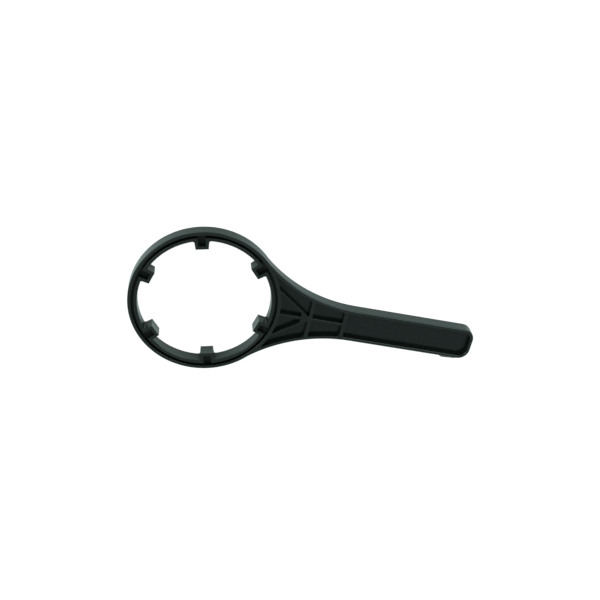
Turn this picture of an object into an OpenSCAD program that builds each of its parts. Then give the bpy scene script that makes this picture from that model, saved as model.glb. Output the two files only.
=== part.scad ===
// Filter housing wrench: a one-piece moulded ring with six hollow lugs and a ribbed handle.
// The origin is the ring's centre on the surface the wrench lies on, +X runs along the handle, +Z is up.

/* [Ring] */
// Outside diameter of the ring
ring_od = 117.2; // [110:0.2:130]
// Thickness of the outer wall of the ring
ring_wall = 2.7; // [2.4:0.1:3.4]
// Width of the channel between the two walls of the ring
channel_w = 2.1; // [1.4:0.1:3]
// Thickness of the inner wall of the ring
inner_wall = 2.8; // [2:0.1:3.4]

/* [Lugs] */
// Number of lugs that grip the housing
lug_count = 6; // [4:1:8]
// Distance across the tips of opposite lugs
lug_tip_d = 89.2; // [84:0.2:94]
// Width of a lug at its tip
lug_tip_w = 9.8; // [8:0.1:10.4]
// Width of a lug at the inner wall
lug_root_w = 11.2; // [10.5:0.1:13]
// Thickness of the wall round a lug's pocket
lug_wall = 2.4; // [1.4:0.1:2.8]
// Fillet where a lug leaves the inner wall
lug_root_r = 1.4; // [0.6:0.1:2]
// Turn of the first lug from the handle's axis, in degrees
lug_turn = 43; // [30:0.5:60]

/* [Section] */
// Height of every wall and rib, which is the thickness of the wrench
height = 11.5; // [10:0.5:16]
// Thickness of the web half way up
web = 2.4; // [1.6:0.1:4]
// Radius on the outer edges of the neck and the handle
edge_r = 1.3; // [0.6:0.1:1.6]
// Radius on the inner edges of the same wall
grip_lip_r = 0.8; // [0.5:0.1:1]
// Radius on the outer edges of the ring
ring_edge_r = 0.8; // [0.5:0.1:1.6]
// Radius on the edges of the bore
bore_edge_r = 1.2; // [0.5:0.1:1.5]
// Radius on the edges of the channel and the ribs
lip_r = 0.4; // [0.2:0.05:0.5]
// Draft on the moulded faces, in degrees
draft = 1; // [0.5:0.25:2]

/* [Handle] */
// Distance from the ring's centre to the end of the handle
handle_reach = 216.5; // [190:0.5:260]
// Width of the handle
handle_w = 26.6; // [23:0.2:34]
// Thickness of the wall that runs round the neck and the handle
outer_wall = 2.8; // [2.4:0.1:3.4]
// Radius of the two corners at the end of the handle
handle_corner_r = 9; // [5:0.5:11]
// Radius of the sweep from the ring into the handle
flank_r = 117; // [90:1:140]

/* [Ribs] */
// Thickness of the braces and of the rib on the axis, at the top
rib = 2.1; // [1.4:0.1:3]
// Thickness of the two cross ribs, at the top
cross_rib = 2.8; // [1.6:0.1:3.6]
// How far the braces and the rib on the axis stay below the rim
rib_drop = 0.3; // [0.25:0.05:0.5]
// How far the cross ribs stay below the rim
cross_drop = 0.12; // [0.08:0.02:0.16]
// Distance from the ring's centre to the first cross rib
first_cross_x = 82.9; // [78:0.1:90]
// Distance between the two cross ribs
cross_pitch = 27.3; // [16:0.1:36]
// Place of the two braces on the ring, in degrees from the handle's axis
brace_turn = 20; // [15:0.5:22]
// Length of the filled corner where the braces meet
gusset_l = 7.5; // [4:0.5:12]
// Width of the foot by which a cross rib spreads where it meets the wall
foot_w = 1.5; // [0.8:0.1:2.5]
// Place of the blunt tips of the outer neck pockets, in degrees from the handle's axis
tip_turn = 31; // [28:0.5:33]

/* [Gate pad] */
// Length of the pad that the mould's gate leaves on the handle's edge
pad_l = 11; // [4:0.5:16]
// Height of the pad along the edge
pad_h = 7; // [4:0.5:8]
// How far the pad stands out from the edge
pad_out = 1.5; // [0.6:0.1:2]
// Length of the slope that starts the pad
pad_slope = 6; // [2:0.5:8]
// Distance from the handle's corner to the pad
pad_gap = 0.5; // [0.5:0.5:20]

/* [Hidden] */
$fn = 96;

// Radii of the ring's walls, from outside to inside
ring_r = ring_od / 2;
channel_outer_r = ring_r - ring_wall;
channel_inner_r = channel_outer_r - channel_w;
bore_r = channel_inner_r - inner_wall;

// Middle of the height, where the mould parts, and what the draft adds by then, rounded where walls join
mid = height / 2;
slope = tan(draft);
draft_step = 0.001;
edge_slope = draft_step * round(slope * (mid - edge_r) / draft_step);
grip_slope = draft_step * round(slope * (mid - grip_lip_r) / draft_step);
ring_slope = slope * (mid - ring_edge_r);
bore_slope = slope * (mid - bore_edge_r);
lip_slope = slope * (mid - lip_r);

// Overlap of pieces that join
blend = 0.05;
// Step to which the place of a joint is rounded, so that its pieces meet exactly
joint_step = 0.01;

// Centre of a flank's arc, which touches the handle's edge and just enters the ring
handle_half = handle_w / 2;
flank_y = handle_half + flank_r;
flank_x = joint_step * round(sqrt(pow(ring_r + flank_r - blend, 2) - pow(flank_y, 2)) / joint_step);
flank_d = norm([flank_x, flank_y]);
flank_turn = atan2(flank_y, flank_x);
corner_x = handle_reach - handle_corner_r;
corner_y = handle_half - handle_corner_r;

// How far a rib or a fill runs into the ring, and into the wall of the neck
seat = lip_r + 2 * blend;
wall_seat = grip_lip_r + 2 * blend;
// How far the fill of a pocket's tip and the foot of a rib stay below the rim
tip_drop = 0.6;
foot_drop = 0.75;
// Length over which the pad ends at the handle's corner
pad_end = 1.5;
web_seat = outer_wall / 2;
// Turn by which the neck's shoulder runs past its pockets, and by which the web's edge starts past the ring
shoulder_turn = 1;
web_turn = 4;

second_cross_x = first_cross_x + cross_pitch;
lug_tip_r = lug_tip_d / 2;

// Steps along the drawn arcs: degrees for an edge, and counts for a lip, a fillet and the web's flank
arc_step = 15;
lip_steps = 3;
fillet_steps = 5;
flank_steps = 10;

// Points along an arc, from one angle to another
function arc(centre, r, from, to, steps) =
    [for (i = [0 : steps])
        let (turn = from + (to - from) * i / steps)
        centre + r * [cos(turn), sin(turn)]];

// The same outline on the other side of the part's mid plane, in the order that closes it
function mirrored(points) = [for (i = [len(points) - 1 : -1 : 0]) [points[i].x, height - points[i].y]];

// Points mirrored in the handle's axis, in the order that closes the outline
function flipped(points) = [for (i = [len(points) - 1 : -1 : 0]) [points[i].x, -points[i].y]];

// Distance of a flank's surface from the handle's axis, at x, with an inset into the material
function flank_edge(x, inset) =
    x >= flank_x ? handle_half - inset : flank_y - sqrt(pow(flank_r + inset, 2) - pow(flank_x - x, 2));

// Distance of a flank's surface from the ring's centre along a ray, with an inset into the material
function flank_ray(turn, inset) =
    let (a = flank_turn - turn)
    flank_d * cos(a) - sqrt(pow(flank_r + inset, 2) - pow(flank_d * sin(a), 2));

// Section of the wall that runs round the wrench: x is the depth from the outer face, y is the height
function outer_section() =
    let (upper = concat(
        [[0, mid]],
        arc([edge_slope + edge_r, height - edge_r], edge_r, 180, 90, 90 / arc_step),
        arc([outer_wall - grip_lip_r, height - grip_lip_r], grip_lip_r, 90, 0, 90 / arc_step),
        [[outer_wall + grip_slope, mid]]))
    concat(upper, mirrored([for (i = [1 : len(upper) - 2]) upper[i]]));

// Section of a rib that is moulded on both sides: thickness at the top, both edges eased, drop below the rim
function rib_section(thickness, drop) =
    let (half = thickness / 2,
        lip_z = height - drop - lip_r,
        foot = half + slope * (lip_z - mid),
        upper = concat(
            [[-foot, mid]],
            arc([-half + lip_r, lip_z], lip_r, 180, 90, lip_steps),
            arc([half - lip_r, lip_z], lip_r, 90, 0, lip_steps),
            [[foot, mid]]))
    concat(upper, mirrored([for (i = [1 : len(upper) - 2]) upper[i]]));

// The outer wall round a corner of the handle, from +X to +Y
module corner_wall() {
    rotate_extrude(angle = 90)
        polygon([for (p = outer_section()) [handle_corner_r - p.x, p.y]]);
}

// The outer wall along a flank, from the handle's edge to the ring
module flank_wall() {
    mirror([1, 1, 0])
        rotate_extrude(angle = 90 - flank_turn)
            polygon([for (p = outer_section()) [flank_r + p.x, p.y]]);
}

// The outer wall along a straight, from the origin along +X, with its outer face towards +Y
module straight_wall(length) {
    rotate([90, 0, 90])
        linear_extrude(length)
            polygon([for (p = outer_section()) [-p.x, p.y]]);
}

// Wall round the neck and the handle, one stretch after another
module handle_wall() {
    for (side = [0, 1]) mirror([0, side, 0]) {
        translate([flank_x, flank_y, 0]) flank_wall();
        translate([flank_x, handle_half, 0]) straight_wall(corner_x - flank_x);
        translate([corner_x, corner_y, 0]) corner_wall();
    }
    translate([handle_reach, corner_y, 0]) rotate([0, 0, -90]) straight_wall(2 * corner_y);
}

// A rib of one thickness from one point to another, a drop below the rim
module rib_between(start, end, thickness, drop) {
    along = end - start;
    translate([start.x, start.y, 0])
        rotate([90, 0, atan2(along.y, along.x) + 90])
            linear_extrude(norm(along))
                polygon(rib_section(thickness, drop));
}

// Ring before its channel is cut, with its edges eased outside and in the bore
module ring_blank() {
    upper = concat(
        [[ring_r, mid]],
        arc([ring_r - ring_slope - ring_edge_r, height - ring_edge_r], ring_edge_r, 0, 90, 90 / arc_step),
        arc([bore_r + bore_slope + bore_edge_r, height - bore_edge_r], bore_edge_r, 90, 180, 90 / arc_step),
        [[bore_r, mid]]);
    rotate_extrude() polygon(concat(upper, mirrored([for (i = [1 : len(upper) - 2]) upper[i]])));
}

// Square shoulder on the ring where the neck's pockets meet it
module neck_shoulder() {
    half_turn = tip_turn + shoulder_turn;
    inner_x = channel_outer_r + seat;
    upper = concat(
        [[inner_x, mid], [inner_x, height]],
        arc([ring_r - lip_r, height - lip_r], lip_r, 90, 0, lip_steps),
        [[ring_r + lip_slope, mid]]);
    rotate([0, 0, -half_turn])
        rotate_extrude(angle = 2 * half_turn)
            polygon(concat(upper, mirrored([for (i = [1 : len(upper) - 2]) upper[i]])));
}

// Web at half height: the floor of the neck's pockets and of the handle
module web_plate() {
    root_r = ring_r - web_seat;
    side = concat(
        [[root_r, 0], root_r * [cos(flank_turn), sin(flank_turn)]],
        arc([flank_x, flank_y], flank_r + web_seat, 180 + flank_turn + web_turn, 270, flank_steps),
        arc([corner_x, corner_y], handle_corner_r - web_seat, 90, 0, 90 / arc_step));
    translate([0, 0, mid - web / 2])
        linear_extrude(web) polygon(concat(side, flipped([for (i = [1 : len(side) - 1]) side[i]])));
}

// Ribs of the neck: two across, one on the axis and two braces that meet at the first cross rib
module neck_ribs() {
    meet = [first_cross_x, 0];
    brace_start = (ring_r - seat) * [cos(brace_turn), sin(brace_turn)];
    for (x = [first_cross_x, second_cross_x]) {
        reach = flank_edge(x, outer_wall - wall_seat);
        rib_between([x, -reach], [x, reach], cross_rib, cross_drop);
        for (side = [0, 1]) mirror([0, side, 0]) rib_foot(x);
    }
    rib_between([ring_r - seat, 0], [second_cross_x, 0], rib, rib_drop);
    for (side = [1, -1]) rib_between([brace_start.x, side * brace_start.y], meet, rib, rib_drop);
    gusset(meet, brace_start);
    for (side = [0, 1]) mirror([0, side, 0]) pocket_tip();
}

// Foot that spreads one end of a cross rib where it meets the wall
module rib_foot(x) {
    half = cross_rib / 2;
    spread = half + foot_w;
    end = flank_edge(x, outer_wall) - foot_w;
    translate([0, 0, foot_drop]) linear_extrude(height - 2 * foot_drop) polygon([
        [x - half, end],
        [x - spread, flank_edge(x - spread, outer_wall)],
        [x - spread, flank_edge(x - spread, outer_wall - wall_seat)],
        [x + spread, flank_edge(x + spread, outer_wall - wall_seat)],
        [x + spread, flank_edge(x + spread, outer_wall)],
        [x + half, end]]);
}

// Filled corner between the braces, on the ring's side of the first cross rib
module gusset(meet, brace_start) {
    spread = gusset_l * brace_start.y / (first_cross_x - brace_start.x);
    translate([0, 0, rib_drop]) linear_extrude(height - 2 * rib_drop)
        polygon([meet, [meet.x - gusset_l, spread], [meet.x - gusset_l, -spread]]);
}

// Fill that ends an outer neck pocket bluntly, where the flank closes on the ring
module pocket_tip() {
    back_turn = (tip_turn + flank_turn) / 2;
    inner_x = channel_outer_r + seat;
    translate([0, 0, tip_drop]) linear_extrude(height - 2 * tip_drop) polygon([
        inner_x * [cos(tip_turn), sin(tip_turn)],
        flank_ray(tip_turn, outer_wall - wall_seat) * [cos(tip_turn), sin(tip_turn)],
        flank_ray(back_turn, outer_wall - wall_seat) * [cos(back_turn), sin(back_turn)],
        inner_x * [cos(back_turn), sin(back_turn)]]);
}

// Half width of a lug's flank at a distance from the ring's centre
function lug_half(r) = lug_tip_w / 2 + (lug_root_w - lug_tip_w) / 2 * (r - lug_tip_r) / (bore_r - lug_tip_r);

// Outline of a lug's outer faces, pointing along +X, with its root fillets run into the inner wall
module lug_outline() {
    lean = atan2(lug_root_w - lug_tip_w, 2 * (bore_r - lug_tip_r));
    root_x = bore_r - lug_root_r;
    fillet = arc([root_x, lug_half(root_x) + lug_root_r / cos(lean)], lug_root_r, lean - 90, 0, fillet_steps);
    side = concat(
        [[lug_tip_r, lug_tip_w / 2]],
        fillet,
        [[channel_inner_r - seat, lug_half(root_x) + lug_root_r]]);
    polygon(concat(side, flipped(side)));
}

// Pocket inside a lug, run out through the inner wall into the channel
module lug_pocket() {
    tip_x = lug_tip_r + lug_wall;
    root_x = channel_outer_r - channel_w / 2;
    polygon([
        [tip_x, lug_half(tip_x) - lug_wall],
        [root_x, lug_half(bore_r) - lug_wall],
        [root_x, lug_wall - lug_half(bore_r)],
        [tip_x, lug_wall - lug_half(tip_x)]]);
}

// All lugs, or what is cut from them
module at_lugs() {
    for (i = [0 : lug_count - 1]) rotate([0, 0, lug_turn + i * 360 / lug_count]) children();
}

// Channel and lug pockets as they are cut from the upper face, down to the web
module upper_cut() {
    floor_z = mid + web / 2;
    floor_slope = slope * (height - lip_r - floor_z);
    over = 1;
    rotate_extrude() polygon(concat(
        [[channel_inner_r + floor_slope, floor_z]],
        [[channel_outer_r - floor_slope, floor_z]],
        arc([channel_outer_r + lip_r, height - lip_r], lip_r, 180, 90, lip_steps),
        [[channel_outer_r + lip_r, height + over], [channel_inner_r - lip_r, height + over]],
        arc([channel_inner_r - lip_r, height - lip_r], lip_r, 90, 0, lip_steps)));
    translate([0, 0, floor_z]) linear_extrude(mid + over) at_lugs() lug_pocket();
}

// Pad that the mould's gate leaves on the handle's edge, near its end
module gate_pad() {
    far = corner_x - pad_gap;
    near = far - pad_l - pad_slope;
    edge = -handle_half + edge_slope + seat;
    translate([0, 0, mid - pad_h / 2]) linear_extrude(pad_h) polygon([
        [near, edge],
        [near + pad_slope, -handle_half - pad_out],
        [far, -handle_half - pad_out],
        [far + pad_end, edge]]);
}

// The whole wrench
module wrench() {
    color("#23292a") difference() {
        union() {
            ring_blank();
            linear_extrude(height) at_lugs() lug_outline();
            handle_wall();
            neck_shoulder();
            web_plate();
            neck_ribs();
            gate_pad();
        }
        upper_cut();
        translate([0, 0, height]) mirror([0, 0, 1]) upper_cut();
    }
}

wrench();
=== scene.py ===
import math

import bmesh
import bpy
from mathutils import Matrix, Vector


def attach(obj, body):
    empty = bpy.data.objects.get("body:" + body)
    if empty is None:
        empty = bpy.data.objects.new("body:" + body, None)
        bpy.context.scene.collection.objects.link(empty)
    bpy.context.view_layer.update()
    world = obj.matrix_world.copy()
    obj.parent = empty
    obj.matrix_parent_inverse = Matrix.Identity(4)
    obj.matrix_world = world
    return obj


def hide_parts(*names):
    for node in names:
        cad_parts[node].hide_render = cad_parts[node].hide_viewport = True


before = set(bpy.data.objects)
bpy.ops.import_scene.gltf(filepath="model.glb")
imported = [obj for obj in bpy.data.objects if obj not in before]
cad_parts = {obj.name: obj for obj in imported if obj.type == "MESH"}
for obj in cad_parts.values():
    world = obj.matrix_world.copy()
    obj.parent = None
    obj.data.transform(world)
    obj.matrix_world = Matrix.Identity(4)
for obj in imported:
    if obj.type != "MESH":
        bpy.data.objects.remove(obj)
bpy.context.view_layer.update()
scene = bpy.context.scene
scene.view_settings.view_transform = "Standard"
mm = 0.001
print("frame loaded")


def linearColour(hexText):
    channels = [int(hexText[i:i + 2], 16) / 255 for i in (1, 3, 5)]
    return (*[c / 12.92 if c <= 0.04045 else ((c + 0.055) / 1.055) ** 2.4 for c in channels], 1.0)


def addNode(tree, kind, inputs=None, **settings):
    node = tree.nodes.new(kind)
    for name, value in settings.items():
        setattr(node, name, value)
    for name, value in (inputs or {}).items():
        if isinstance(value, bpy.types.NodeSocket):
            tree.links.new(value, node.inputs[name])
        else:
            node.inputs[name].default_value = value
    return node


def newMaterial(name):
    material = bpy.data.materials.new(name)
    material.use_nodes = True
    material.node_tree.nodes.clear()
    return material, material.node_tree


def newPiece(name, shape, material):
    mesh = bpy.data.meshes.new(name)
    shape.to_mesh(mesh)
    shape.free()
    mesh.materials.append(material)
    piece = bpy.data.objects.new(name, mesh)
    scene.collection.objects.link(piece)
    return piece


# Places where the plastic is painted paler or is duller than its moulded skin; the paler top and bottom rims are
# a painted highlight.
rimLightAndWear = {
    "midHeight": 5.75,           # mm, half the wrench's height
    "paintedRimLightColour": "#191f1e",   # rims painted paler: a painted highlight for the light the rims catch and the shaded pocket floors miss
    "paintedRimLightFrom": 5.4,           # mm from the middle of the height, where the painted rim highlight starts
    "dullRoughness": 0.5,        # floors of the ring's channel and lugs, too narrow for the mould to be polished
    "floorRadius": 56.0,         # mm, inside which those floors lie
    "floorCentre": (0, 0, 6.95),   # mm, the ring's centre at the height of the web's upper face
    "floorReach": 3.0,           # mm from the middle of the height, at most
    "floorFacing": 0.8,          # how level a face is that counts as a floor, 1 is flat
    "stubFrom": (150.0, -13.4),  # mm, X and Y past which lies the gate's stub, torn off paler and dull
}


def rimLightAndWornPlaces(tree, place):
    spot = addNode(tree, "ShaderNodeSeparateXYZ", {"Vector": place})
    aside = addNode(tree, "ShaderNodeMath", {
        0: spot.outputs["Z"], 1: rimLightAndWear["midHeight"] * mm}, operation="SUBTRACT")
    rimward = addNode(tree, "ShaderNodeMath", {0: aside.outputs["Value"]}, operation="ABSOLUTE")
    # painted highlight: the top and bottom rims turn paler
    paintedRimLight = addNode(tree, "ShaderNodeMapRange", {
        "Value": rimward.outputs["Value"],
        "From Min": rimLightAndWear["paintedRimLightFrom"] * mm, "From Max": rimLightAndWear["midHeight"] * mm})
    # the gate's stub
    along = addNode(tree, "ShaderNodeMath", {
        0: spot.outputs["X"], 1: rimLightAndWear["stubFrom"][0] * mm}, operation="GREATER_THAN")
    beside = addNode(tree, "ShaderNodeMath", {
        0: spot.outputs["Y"], 1: rimLightAndWear["stubFrom"][1] * mm}, operation="LESS_THAN")
    stub = addNode(tree, "ShaderNodeMath", {
        0: along.outputs["Value"], 1: beside.outputs["Value"]}, operation="MULTIPLY")
    # floors of the channel and the lugs
    normal = addNode(tree, "ShaderNodeNewGeometry").outputs["Normal"]
    upright = addNode(tree, "ShaderNodeSeparateXYZ", {"Vector": normal})
    level = addNode(tree, "ShaderNodeMath", {0: upright.outputs["Z"]}, operation="ABSOLUTE")
    flat = addNode(tree, "ShaderNodeMath", {
        0: level.outputs["Value"], 1: rimLightAndWear["floorFacing"]}, operation="GREATER_THAN")
    away = addNode(tree, "ShaderNodeVectorMath", {
        0: place, 1: [c * mm for c in rimLightAndWear["floorCentre"]]}, operation="DISTANCE")
    inRing = addNode(tree, "ShaderNodeMath", {
        0: away.outputs["Value"], 1: rimLightAndWear["floorRadius"] * mm}, operation="LESS_THAN")
    deep = addNode(tree, "ShaderNodeMath", {
        0: rimward.outputs["Value"], 1: rimLightAndWear["floorReach"] * mm}, operation="LESS_THAN")
    flatInRing = addNode(tree, "ShaderNodeMath", {
        0: flat.outputs["Value"], 1: inRing.outputs["Value"]}, operation="MULTIPLY")
    floors = addNode(tree, "ShaderNodeMath", {
        0: flatInRing.outputs["Value"], 1: deep.outputs["Value"]}, operation="MULTIPLY")
    pale = addNode(tree, "ShaderNodeMath", {
        0: paintedRimLight.outputs["Result"], 1: stub.outputs["Value"]}, operation="MAXIMUM")
    dull = addNode(tree, "ShaderNodeMath", {
        0: floors.outputs["Value"], 1: stub.outputs["Value"]}, operation="MAXIMUM")
    return pale.outputs["Value"], dull.outputs["Value"]


# Faint discs that the mould's ejector pins leave on the upper web.
pinMarks = {
    "places": ((70.9, 14.6), (103.0, 5.7), (103.2, -8.3), (131.5, -0.9), (193.1, -0.4)),   # mm
    "floor": 6.95,             # mm, height of the web's upper face
    "radius": 2.8,             # mm
    "edge": 0.5,               # mm
    "depth": 0.04,             # mm
    "farAway": 1.0,            # m, further than any pin
}


def pinDiscs(tree, place):
    nearest = pinMarks["farAway"]
    for x, y in pinMarks["places"]:
        away = addNode(tree, "ShaderNodeVectorMath", {
            0: place, 1: (x * mm, y * mm, pinMarks["floor"] * mm)}, operation="DISTANCE")
        nearest = addNode(tree, "ShaderNodeMath", {
            0: away.outputs["Value"], 1: nearest}, operation="MINIMUM").outputs["Value"]
    disc = addNode(tree, "ShaderNodeMapRange", {
        "Value": nearest,
        "From Min": pinMarks["radius"] * mm, "From Max": (pinMarks["radius"] + pinMarks["edge"]) * mm,
        "To Min": pinMarks["depth"] / plastic["grainDepth"], "To Max": 0.0}, interpolation_type="SMOOTHSTEP")
    return disc.outputs["Result"]


# Polypropylene moulded against fine spark-eroded steel: a satin black with a green cast,
# dark where it faces the room and grey where it mirrors the table at a low angle.
plastic = {
    "colour": "#050908",
    "grainColour": "#141a19",       # tops of the grain, which scatter a little
    "grainSize": 1.1,               # mm, drawn coarser than the real 0.05 so that it shows
    "grainDepth": 0.008,            # mm
    "grainDetail": 2.0,
    "grainFalloff": 0.6,
    "grainContrast": (0.38, 0.62),  # part of the noise that runs from pits to tops
    "flowSize": 14.0,               # mm, of the duller streaks where the melt cooled
    "flowDetail": 3.0,
    "flowFalloff": 0.55,
    "roughness": 0.2,
    "roughnessSpread": 0.04,
    "ior": 1.49,
    "glossTint": "#e6fff9",
}


def mouldedPolypropylene():
    material, tree = newMaterial("mouldedPolypropylene")
    place = addNode(tree, "ShaderNodeTexCoord").outputs["Object"]
    pale, dull = rimLightAndWornPlaces(tree, place)
    grain = addNode(tree, "ShaderNodeTexNoise", {
        "Vector": place, "Scale": 1 / (plastic["grainSize"] * mm),
        "Detail": plastic["grainDetail"], "Roughness": plastic["grainFalloff"]})
    tops = addNode(tree, "ShaderNodeMapRange", {
        "Value": grain.outputs["Fac"],
        "From Min": plastic["grainContrast"][0], "From Max": plastic["grainContrast"][1]})
    tint = addNode(tree, "ShaderNodeMix", {
        "Factor": tops.outputs["Result"],
        "A": linearColour(plastic["colour"]), "B": linearColour(plastic["grainColour"])}, data_type="RGBA")
    # painted highlight on the top and bottom rims, and the gate's stub paler
    skin = addNode(tree, "ShaderNodeMix", {
        "Factor": pale, "A": tint.outputs["Result"], "B": linearColour(rimLightAndWear["paintedRimLightColour"])}, data_type="RGBA")
    flow = addNode(tree, "ShaderNodeTexNoise", {
        "Vector": place, "Scale": 1 / (plastic["flowSize"] * mm),
        "Detail": plastic["flowDetail"], "Roughness": plastic["flowFalloff"]})
    satin = addNode(tree, "ShaderNodeMapRange", {
        "Value": flow.outputs["Fac"],
        "To Min": plastic["roughness"] - plastic["roughnessSpread"],
        "To Max": plastic["roughness"] + plastic["roughnessSpread"]})
    roughness = addNode(tree, "ShaderNodeMath", {
        0: dull, 1: rimLightAndWear["dullRoughness"] - plastic["roughness"], 2: satin.outputs["Result"]},
        operation="MULTIPLY_ADD")
    height = addNode(tree, "ShaderNodeMath", {
        0: grain.outputs["Fac"], 1: pinDiscs(tree, place)}, operation="ADD")
    relief = addNode(tree, "ShaderNodeBump", {
        "Height": height.outputs["Value"], "Strength": 1.0, "Distance": plastic["grainDepth"] * mm})
    shader = addNode(tree, "ShaderNodeBsdfPrincipled", {
        "Base Color": skin.outputs["Result"], "Roughness": roughness.outputs["Value"],
        "IOR": plastic["ior"], "Specular Tint": linearColour(plastic["glossTint"]),
        "Normal": relief.outputs["Normal"]})
    addNode(tree, "ShaderNodeOutputMaterial", {"Surface": shader.outputs["BSDF"]})
    return material


# The wrench itself: the CAD solid with its last hard corners eased, as a mould's own corners are.
wrench = {
    "mergeDistance": 0.002,    # mm
    "flatAngle": 0.4,          # degrees, below which triangles are one face
    "cornerAngle": 50.0,       # degrees, above which an outside corner is eased
    "cornerRadius": 0.25,      # mm
    "cornerSegments": 2,
    "smoothAngle": 42.0,       # degrees
    "stubX": (150.0, 200.0),   # mm, the gate's stub lies past the first, its far corners past the second
    "stubY": -14.0,            # mm, past which its outer corners lie
    "stubNear": 0.5,           # mm, how far its near corners go out
    "stubFar": -0.2,           # mm, and its far corners come in, as it tore off
    "stubSlope": 0.33,         # fall of its ledges for each mm out
    "handleEdge": -13.3,       # mm, Y of the edge that the stub stands on
    "middle": 5.75,            # mm, half the height
}


def tearStub(shape):
    corners = [v for v in shape.verts if v.co.x > wrench["stubX"][0] * mm and v.co.y < wrench["stubY"] * mm]
    print("corners of the stub", len(corners))
    for corner in corners:
        far = corner.co.x > wrench["stubX"][1] * mm
        corner.co.y -= (wrench["stubFar"] if far else wrench["stubNear"]) * mm
        fall = (wrench["handleEdge"] * mm - corner.co.y) * wrench["stubSlope"]
        corner.co.z += -fall if corner.co.z > wrench["middle"] * mm else fall


def easedWrench(material):
    shape = bmesh.new()
    shape.from_mesh(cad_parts["wrench"].data)
    bmesh.ops.remove_doubles(shape, verts=shape.verts, dist=wrench["mergeDistance"] * mm)
    bmesh.ops.dissolve_limit(
        shape, angle_limit=math.radians(wrench["flatAngle"]), verts=shape.verts, edges=shape.edges)
    tearStub(shape)
    corners = [e for e in shape.edges if e.is_manifold and e.is_convex
               and e.calc_face_angle() > math.radians(wrench["cornerAngle"])]
    print("corners to ease", len(corners))
    bmesh.ops.bevel(
        shape, geom=corners, offset=wrench["cornerRadius"] * mm, offset_type="OFFSET", affect="EDGES",
        segments=wrench["cornerSegments"], profile=0.5, material=-1, clamp_overlap=True)
    bmesh.ops.triangulate(shape, faces=[f for f in shape.faces if len(f.verts) > 4])
    for face in shape.faces:
        face.smooth = True
    piece = newPiece("mouldedWrench", shape, material)
    normals = piece.data.attributes.get("custom_normal")
    if normals:
        piece.data.attributes.remove(normals)   # the frame's own normals don't fit the merged faces
    piece.data.set_sharp_from_angle(angle=math.radians(wrench["smoothAngle"]))
    flats = piece.modifiers.new("flatsStayFlat", "WEIGHTED_NORMAL")
    flats.keep_sharp = True
    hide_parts("wrench")
    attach(piece, "root")


easedWrench(mouldedPolypropylene())
print("wrench eased")

# White melamine table: it keeps a soft shadow, and the camera sees it as white; the plastic's gloss sees a glow
# on it with painted light and a painted contact shade.
table = {
    "size": 6.0,               # m
    "drop": 0.02,              # mm below the wrench's lower rims
    "colour": "#7d8886",       # what lights the wrench from below
    "seenColour": "#ffffff",
    "glow": 0.96,
    # tint of the painted reflection that the gloss sees on the table
    "glossTint": "#dff5f0",
    "paintedGlowLeft": 1.14,         # painted light in what the gloss sees of the table: brightest left of the ring,
    "paintedGlowMiddle": 0.76,       # dullest behind it
    "paintedGlowRight": 1.02,        # and brighter again along the neck
    "paintedGlowInside": 0.26,       # painted light added for the far half of the bore
    "leftX": (-70.0, 5.0),     # mm
    "rightX": (10.0, 55.0),    # mm
    "insideY": (12.0, -15.0),  # mm
    "paintedContactShade": 18.0,      # mm, how far from the wrench a painted contact shade darkens the table's glow
    "contactSamples": 8,
}


# Painted light and shade on the table, seen only in the plastic's gloss.
def paintedTableReflection(tree):
    place = addNode(tree, "ShaderNodeTexCoord").outputs["Object"]
    spot = addNode(tree, "ShaderNodeSeparateXYZ", {"Vector": place})
    left = addNode(tree, "ShaderNodeMapRange", {
        "Value": spot.outputs["X"],
        "From Min": table["leftX"][0] * mm, "From Max": table["leftX"][1] * mm,
        "To Min": table["paintedGlowLeft"], "To Max": table["paintedGlowMiddle"]}, interpolation_type="SMOOTHSTEP")
    right = addNode(tree, "ShaderNodeMapRange", {
        "Value": spot.outputs["X"],
        "From Min": table["rightX"][0] * mm, "From Max": table["rightX"][1] * mm,
        "To Min": 0.0, "To Max": table["paintedGlowRight"] - table["paintedGlowMiddle"]}, interpolation_type="SMOOTHSTEP")
    inside = addNode(tree, "ShaderNodeMapRange", {
        "Value": spot.outputs["Y"],
        "From Min": table["insideY"][0] * mm, "From Max": table["insideY"][1] * mm,
        "To Min": 0.0, "To Max": table["paintedGlowInside"]})
    sideways = addNode(tree, "ShaderNodeMath", {
        0: left.outputs["Result"], 1: right.outputs["Result"]}, operation="ADD")
    level = addNode(tree, "ShaderNodeMath", {
        0: sideways.outputs["Value"], 1: inside.outputs["Result"]}, operation="ADD")
    # painted contact shade: the glow that the gloss sees darkens near the wrench
    paintedNearShade = addNode(tree, "ShaderNodeAmbientOcclusion", {
        "Distance": table["paintedContactShade"] * mm}, samples=table["contactSamples"])
    shaded = addNode(tree, "ShaderNodeMath", {
        0: level.outputs["Value"], 1: paintedNearShade.outputs["AO"]}, operation="MULTIPLY")
    return shaded.outputs["Value"]


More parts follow.
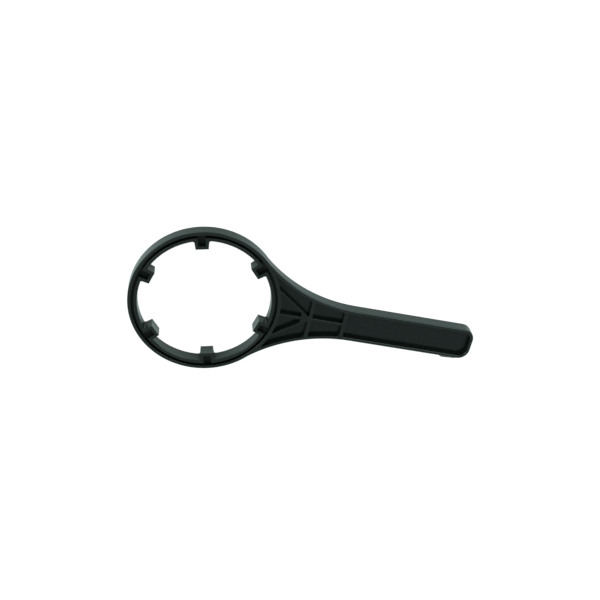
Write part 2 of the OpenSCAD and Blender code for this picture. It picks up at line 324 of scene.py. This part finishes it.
def whiteTable():
    material, tree = newMaterial("whiteMelamineTable")
    matte = addNode(tree, "ShaderNodeBsdfDiffuse", {"Color": linearColour(table["colour"])})
    ray = addNode(tree, "ShaderNodeLightPath")
    seen = addNode(tree, "ShaderNodeMath", {
        0: ray.outputs["Is Camera Ray"], 1: ray.outputs["Is Transmission Ray"]}, operation="MAXIMUM")
    # painted reflection: glossy rays see the table's glow with painted light and shade
    paintedMirrorGlow = addNode(tree, "ShaderNodeMath", {
        0: ray.outputs["Is Glossy Ray"], 1: paintedTableReflection(tree)}, operation="MULTIPLY")
    glow = addNode(tree, "ShaderNodeMath", {
        0: seen.outputs["Value"], 1: table["glow"], 2: paintedMirrorGlow.outputs["Value"]}, operation="MULTIPLY_ADD")
    tone = addNode(tree, "ShaderNodeMix", {
        "Factor": seen.outputs["Value"],
        "A": linearColour(table["glossTint"]), "B": linearColour(table["seenColour"])}, data_type="RGBA")
    light = addNode(tree, "ShaderNodeEmission", {
        "Color": tone.outputs["Result"], "Strength": glow.outputs["Value"]})
    both = addNode(tree, "ShaderNodeAddShader", {0: matte.outputs["BSDF"], 1: light.outputs["Emission"]})
    addNode(tree, "ShaderNodeOutputMaterial", {"Surface": both.outputs["Shader"]})
    shape = bmesh.new()
    bmesh.ops.create_grid(shape, x_segments=1, y_segments=1, size=table["size"] / 2)
    bmesh.ops.translate(shape, verts=shape.verts, vec=(0, 0, -table["drop"] * mm))
    newPiece("table", shape, material)


whiteTable()

# Pale room that darkens overhead, with soft boxes at the left and, low down, at the right of the camera.
studio = {
    "backdrop": "#ffffff",
    "horizon": "#e6edeb",
    "ceiling": "#a0a6a5",
    "ceilingFrom": 0.85,       # height of a direction, 1 is straight up, above which the ceiling starts
    "aim": (0.08, 0, 0),       # m, the point that the soft boxes face
    "softBoxes": (             # m and W
        {"name": "leftBox", "place": (-1.3, 0.35, 0.9), "size": 0.8, "power": 8.0},
        {"name": "rightBox", "place": (0.75, 1.2, 0.62), "size": 1.0, "power": 7.0},
    ),
}


def studioLight():
    world = bpy.data.worlds.new("studioRoom")
    scene.world = world
    world.use_nodes = True
    tree = world.node_tree
    tree.nodes.clear()
    ray = addNode(tree, "ShaderNodeLightPath")
    direction = addNode(tree, "ShaderNodeTexCoord").outputs["Generated"]
    height = addNode(tree, "ShaderNodeSeparateXYZ", {"Vector": direction}).outputs["Z"]
    climb = addNode(tree, "ShaderNodeMapRange", {
        "Value": height, "From Min": 0.0, "From Max": studio["ceilingFrom"]}, interpolation_type="SMOOTHSTEP")
    tone = addNode(tree, "ShaderNodeMix", {
        "Factor": climb.outputs["Result"],
        "A": linearColour(studio["horizon"]), "B": linearColour(studio["ceiling"])}, data_type="RGBA")
    room = addNode(tree, "ShaderNodeBackground", {"Color": tone.outputs["Result"]})
    backdrop = addNode(tree, "ShaderNodeBackground", {"Color": linearColour(studio["backdrop"])})
    shown = addNode(tree, "ShaderNodeMixShader", {
        0: ray.outputs["Is Camera Ray"], 1: room.outputs["Background"], 2: backdrop.outputs["Background"]})
    addNode(tree, "ShaderNodeOutputWorld", {"Surface": shown.outputs["Shader"]})
    for box in studio["softBoxes"]:
        lamp = bpy.data.lights.new(box["name"], "AREA")
        lamp.size = box["size"]
        lamp.energy = box["power"]
        lampObject = bpy.data.objects.new(box["name"], lamp)
        scene.collection.objects.link(lampObject)
        lampObject.location = box["place"]
        facing = Vector(studio["aim"]) - lampObject.location
        lampObject.rotation_euler = facing.to_track_quat("-Z", "Y").to_euler()


studioLight()
print("table and light set")

# Camera fitted to the photograph: the picture is taken from the far side of the table, upside down.
view = {
    "lens": 62.19,                     # mm
    "sensor": 36.0,                    # mm
    "target": (72.508, 12.762, 5.75),  # mm, the point in the middle of the picture
    "distance": 802.67,                # mm
    "azimuth": 112.939,                # degrees from +X to the camera
    "elevation": 62.024,               # degrees
    "roll": 168.910,                   # degrees
    "clipStart": 10.0,                 # mm
}


def placeCamera():
    camera = bpy.data.cameras.new("photoCamera")
    camera.lens = view["lens"]
    camera.sensor_width = view["sensor"]
    camera.sensor_fit = "HORIZONTAL"
    camera.clip_start = view["clipStart"] * mm
    cameraObject = bpy.data.objects.new("photoCamera", camera)
    scene.collection.objects.link(cameraObject)
    azimuth, elevation = math.radians(view["azimuth"]), math.radians(view["elevation"])
    outward = math.cos(elevation)
    back = Vector((outward * math.cos(azimuth), outward * math.sin(azimuth), math.sin(elevation)))
    turn = back.to_track_quat("Z", "Y").to_matrix() @ Matrix.Rotation(math.radians(view["roll"]), 3, "Z")
    place = (Vector(view["target"]) + back * view["distance"]) * mm
    cameraObject.matrix_world = Matrix.Translation(place) @ turn.to_4x4()
    scene.camera = cameraObject


placeCamera()
print("camera placed")
